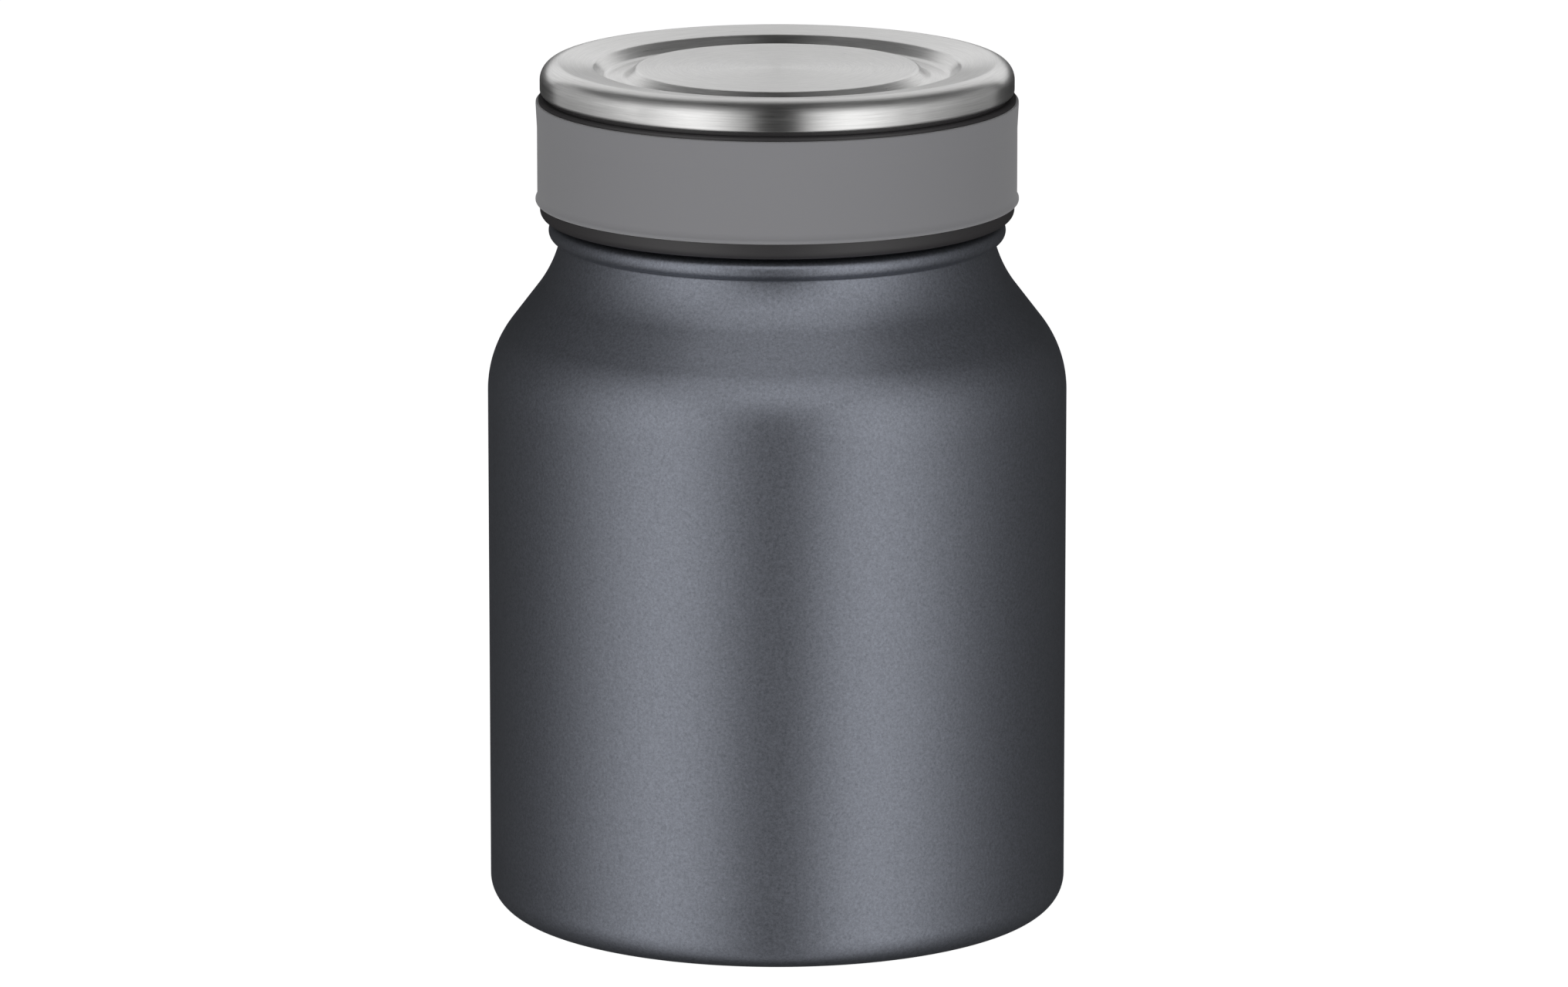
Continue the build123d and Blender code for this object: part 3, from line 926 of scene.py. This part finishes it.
class JAR_OT_plug(bpy.types.Operator):
    """Food-side cup of the lid and the seal that it holds"""

    bl_idname = "food_jar.plug"
    bl_label = "Plug and seal"

    def execute(self, context):
        radius, wall, rounding, flange_thickness = 31.9 * MM, 1.6 * MM, 3 * MM, 1.8 * MM
        bottom, top = low("lid_plug"), high("lid_plug")
        flange, flange_bottom = reach("lid_plug"), high("lid_plug") - flange_thickness
        floor = bottom + wall
        plug = closed_piece(
            "food_side_plug",
            [
                (0, bottom),
                (radius, bottom, rounding),
                (radius, flange_bottom),
                (flange, flange_bottom),
                (flange, top),
                (radius - wall, top),
                (radius - wall, floor, rounding - wall),
                (0, floor),
            ],
        )
        dress(plug, "food_plastic")
        seat(plug, "lid", "plug_plastic", "lid_plug")
        low_lip, seal_top, outer = low("lid_gasket"), high("lid_gasket"), reach("lid_gasket")
        seal_thickness, edge_rounding = 1.4 * MM, 0.2 * MM
        seal_bottom = seal_top - seal_thickness
        lip_inner, lip_outer = radius + 0.3 * MM, radius + 0.8 * MM
        gasket = closed_piece(
            "seal_ring",
            [
                (lip_inner, low_lip),
                (lip_outer, low_lip, edge_rounding),
                (lip_outer, seal_bottom),
                (outer, seal_bottom, edge_rounding),
                (outer, seal_top, edge_rounding),
                (lip_inner, seal_top),
            ],
        )
        dress(gasket, "seal_silicone")
        seat(gasket, "seal", "gasket_rubber", "lid_gasket")
        return {"FINISHED"}


class JAR_OT_hidden_parts(bpy.types.Operator):
    """Finishes of the packed pieces that stay as they are"""

    bl_idname = "food_jar.hidden_parts"
    bl_label = "Finishes of the hidden pieces"

    def execute(self, context):
        finishes = {
            "base_cover": "polished_steel",
            "vacuum_seal": "solder_plug",
            "radiation_foil": "foil_wrap",
            "getter": "getter_pill",
            "getter_holder": "polished_steel",
            "lid_foam": "pale_foam",
        }
        for node, name in finishes.items():
            dress(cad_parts[node], name)
        return {"FINISHED"}


# ------------------------------------------------------------------------------- studio
def make_floor():
    """A pale floor that only the camera sees, with a faint shadow under the jar."""
    bpy.ops.object.select_all(action="DESELECT")
    bpy.ops.mesh.primitive_plane_add(size=12, location=(0, 0, 0))
    floor = bpy.context.object
    floor.name = "studio_floor"
    floor.visible_diffuse = floor.visible_glossy = floor.visible_shadow = False
    finish, _, shader = new_finish("studio_floor_white", Roughness=0.9)
    shader.inputs["Base Color"].default_value = (0.25, 0.25, 0.25, 1)
    shader.inputs["Specular IOR Level"].default_value = 0
    shader.inputs["Emission Color"].default_value = (1, 1, 1, 1)
    shader.inputs["Emission Strength"].default_value = 0.97
    floor.data.materials.append(finish)


# Brightness of the soft walls by bearing, in degrees to the right of the camera, and by height
# above the horizon.
WALLS_BY_BEARING = (
    (-160, 0.0), (-120, 0.05), (-105, 0.1), (-92, 0.2), (-80, 0.38), (-68, 0.57), (-56, 0.8),
    (-45, 0.95), (-36, 0.92), (-28, 0.72), (-21, 0.46), (-15, 0.32), (-9, 0.0), (9, 0.0),
    (15, 0.42), (21, 0.68), (28, 0.9), (36, 1.0), (45, 0.9), (56, 0.69), (68, 0.45), (80, 0.24),
    (92, 0.17), (105, 0.08), (120, 0.05), (160, 0.0),
)
WALLS_BY_HEIGHT = (
    (-75, 0.5), (-60, 0.62), (-25, 0.88), (0, 1.0), (16, 1.0), (27, 0.93), (37, 0.66), (47, 0.3),
    (58, 0.1), (80, 0.0),
)


def fade_by(tree, degrees, stops, span):
    """Looks an angle up in a list of (degrees, brightness) stops, within plus or minus span."""
    place = add_node(
        tree,
        "ShaderNodeMapRange",
        {"Value": degrees, "From Min": -span, "From Max": span},
    ).outputs["Result"]
    fade = add_node(tree, "ShaderNodeValToRGB", {"Fac": place})
    fade.color_ramp.interpolation = "EASE"
    elements = fade.color_ramp.elements
    while len(elements) < len(stops):
        elements.new(0.5)
    for element, (angle_at, bright) in zip(elements, stops):
        element.position = (angle_at + span) / (2 * span)
        element.color = (bright, bright, bright, 1)
    return fade.outputs["Color"]


def make_world(studio):
    """Two soft white walls with a gap at the camera, and a dim room."""
    world = bpy.data.worlds.new("studio_room")
    bpy.context.scene.world = world
    world.use_nodes = True
    tree = world.node_tree
    tree.nodes.clear()
    heading = add_node(tree, "ShaderNodeTexCoord").outputs["Generated"]
    parts = add_node(tree, "ShaderNodeSeparateXYZ", {0: heading}).outputs
    front = math_of(tree, "MULTIPLY", parts["Y"], -1.0)
    bearing = math_of(tree, "ARCTAN2", parts["X"], front)
    bearing = math_of(tree, "DEGREES", bearing)
    above = math_of(tree, "DEGREES", math_of(tree, "ARCSINE", parts["Z"]))
    walls = math_of(
        tree,
        "MULTIPLY",
        fade_by(tree, bearing, WALLS_BY_BEARING, 180),
        fade_by(tree, above, WALLS_BY_HEIGHT, 90),
    )
    walls = math_of(tree, "MULTIPLY", walls, studio.wall_light)
    glow = math_of(tree, "ADD", walls, studio.room)
    lit = add_node(tree, "ShaderNodeBackground", {"Strength": glow})
    white = add_node(tree, "ShaderNodeBackground", {"Color": (1, 1, 1, 1), "Strength": 1.0})
    lit.inputs["Color"].default_value = (1, 1, 1, 1)
    path = add_node(tree, "ShaderNodeLightPath")
    mixed = add_node(
        tree,
        "ShaderNodeMixShader",
        {
            0: path.outputs["Is Camera Ray"],
            1: lit.outputs["Background"],
            2: white.outputs["Background"],
        },
    )
    add_node(tree, "ShaderNodeOutputWorld", {"Surface": mixed.outputs[0]})


# Panels of light, each for one piece: the point that the panel faces, its bearing and height in
# degrees as seen from there, its width, its span in the other direction, and its brightness.
PANEL_DISTANCE = 1.2
PANELS = {
    "shoulder_overhead": dict(
        piece="coated_wall", target=(0, -0.03, 0.1), bearing=0, height=60,
        width=1.5, span=0.47, brightness=0.92,
    ),
    "shoulder_fill": dict(
        piece="coated_wall", target=(0, -0.04, 0.105), bearing=0, height=39,
        width=0.7, span=0.36, brightness=1.68,
    ),
    "cap_backdrop": dict(
        piece="steel_cap", target=(0, 0, 1.5), bearing=180, height=0,
        width=1.9, span=2.4, brightness=0.95,
    ),
    "cap_left": dict(
        piece="steel_cap", target=(0, 0, 0.135), bearing=-103, height=6,
        width=1.6, span=1.0, brightness=0.42,
    ),
    "cap_right": dict(
        piece="steel_cap", target=(0, 0, 0.135), bearing=100, height=6,
        width=1.5, span=1.0, brightness=0.27,
    ),
}


def add_panel(name, piece, target, bearing, height, width, span, brightness):
    """A soft panel that the camera doesn't see and that lights one piece alone."""
    bearing, height = math.radians(bearing), math.radians(height)
    across = math.cos(height) * PANEL_DISTANCE
    toward = Vector((math.sin(bearing) * across, -math.cos(bearing) * across, 0))
    place = Vector(target) + toward + Vector((0, 0, math.sin(height) * PANEL_DISTANCE))
    turned = (math.pi / 2 - height, 0, bearing)
    bpy.ops.object.light_add(type="AREA", location=place, rotation=turned)
    panel = bpy.context.object
    panel.name = panel.data.name = name
    panel.data.shape = "RECTANGLE"
    panel.data.size = width
    panel.data.size_y = span
    panel.data.energy = brightness * math.pi * width * span
    panel.visible_camera = False
    lit = bpy.data.collections.new(name)
    lit.objects.link(bpy.data.objects[piece])
    panel.light_linking.receiver_collection = lit


class JAR_OT_studio(bpy.types.Operator):
    """Camera, soft walls and panels, pale floor and room"""

    bl_idname = "food_jar.studio"
    bl_label = "Studio"

    def execute(self, context):
        scene, studio = context.scene, context.scene.studio_sizes
        scene.view_settings.view_transform = "Standard"
        place = (studio.camera_aside, -studio.distance, studio.camera_height)
        bpy.ops.object.camera_add(location=place, rotation=(studio.camera_tilt, 0, 0))
        camera = context.object
        camera.name = camera.data.name = "studio_camera"
        camera.data.sensor_fit = "HORIZONTAL"
        camera.data.sensor_width = 36
        camera.data.lens = studio.lens
        scene.camera = camera
        make_floor()
        make_world(studio)
        for name, settings in PANELS.items():
            add_panel(name, **settings)
        return {"FINISHED"}


# ------------------------------------------------------------------------------- add-on
PIECES = (
    JAR_OT_wall,
    JAR_OT_base,
    JAR_OT_liner,
    JAR_OT_lid_shell,
    JAR_OT_band,
    JAR_OT_cap,
    JAR_OT_plug,
    JAR_OT_hidden_parts,
    JAR_OT_studio,
)


class JAR_PT_pieces(bpy.types.Panel):
    """Lists the pieces, the finishes and the studio"""

    bl_idname = "JAR_PT_pieces"
    bl_label = "Insulated Food Jar"
    bl_space_type = "VIEW_3D"
    bl_region_type = "UI"
    bl_category = "Food Jar"

    def draw(self, context):
        for settings in SETTINGS:
            box = self.layout.box()
            box.label(text=settings[1].__doc__)
            group = getattr(context.scene, settings[0])
            for field in group.bl_rna.properties:
                if field.identifier not in {"rna_type", "name"}:
                    box.prop(group, field.identifier)
        for piece in PIECES:
            self.layout.operator(piece.bl_idname)


SETTINGS = (
    ("jar_sizes", JarSizes),
    ("thread_sizes", ThreadSizes),
    ("lid_sizes", LidSizes),
    ("jar_finishes", Finishes),
    ("studio_sizes", StudioSizes),
)


def register():
    """Registers the settings, the operators and the panel."""
    for name, group in SETTINGS:
        bpy.utils.register_class(group)
        setattr(bpy.types.Scene, name, bpy.props.PointerProperty(type=group))
    for cls in (*PIECES, JAR_PT_pieces):
        bpy.utils.register_class(cls)


def unregister():
    """Takes back what register did."""
    for cls in (JAR_PT_pieces, *reversed(PIECES)):
        bpy.utils.unregister_class(cls)
    for name, group in reversed(SETTINGS):
        delattr(bpy.types.Scene, name)
        bpy.utils.unregister_class(group)


def main():
    """Makes every piece and the studio."""
    register()
    bpy.ops.food_jar.wall()
    bpy.ops.food_jar.base()
    bpy.ops.food_jar.liner()
    bpy.ops.food_jar.lid_shell()
    bpy.ops.food_jar.band()
    bpy.ops.food_jar.cap()
    bpy.ops.food_jar.plug()
    bpy.ops.food_jar.hidden_parts()
    bpy.ops.food_jar.studio()


if __name__ == "__main__":
    main()
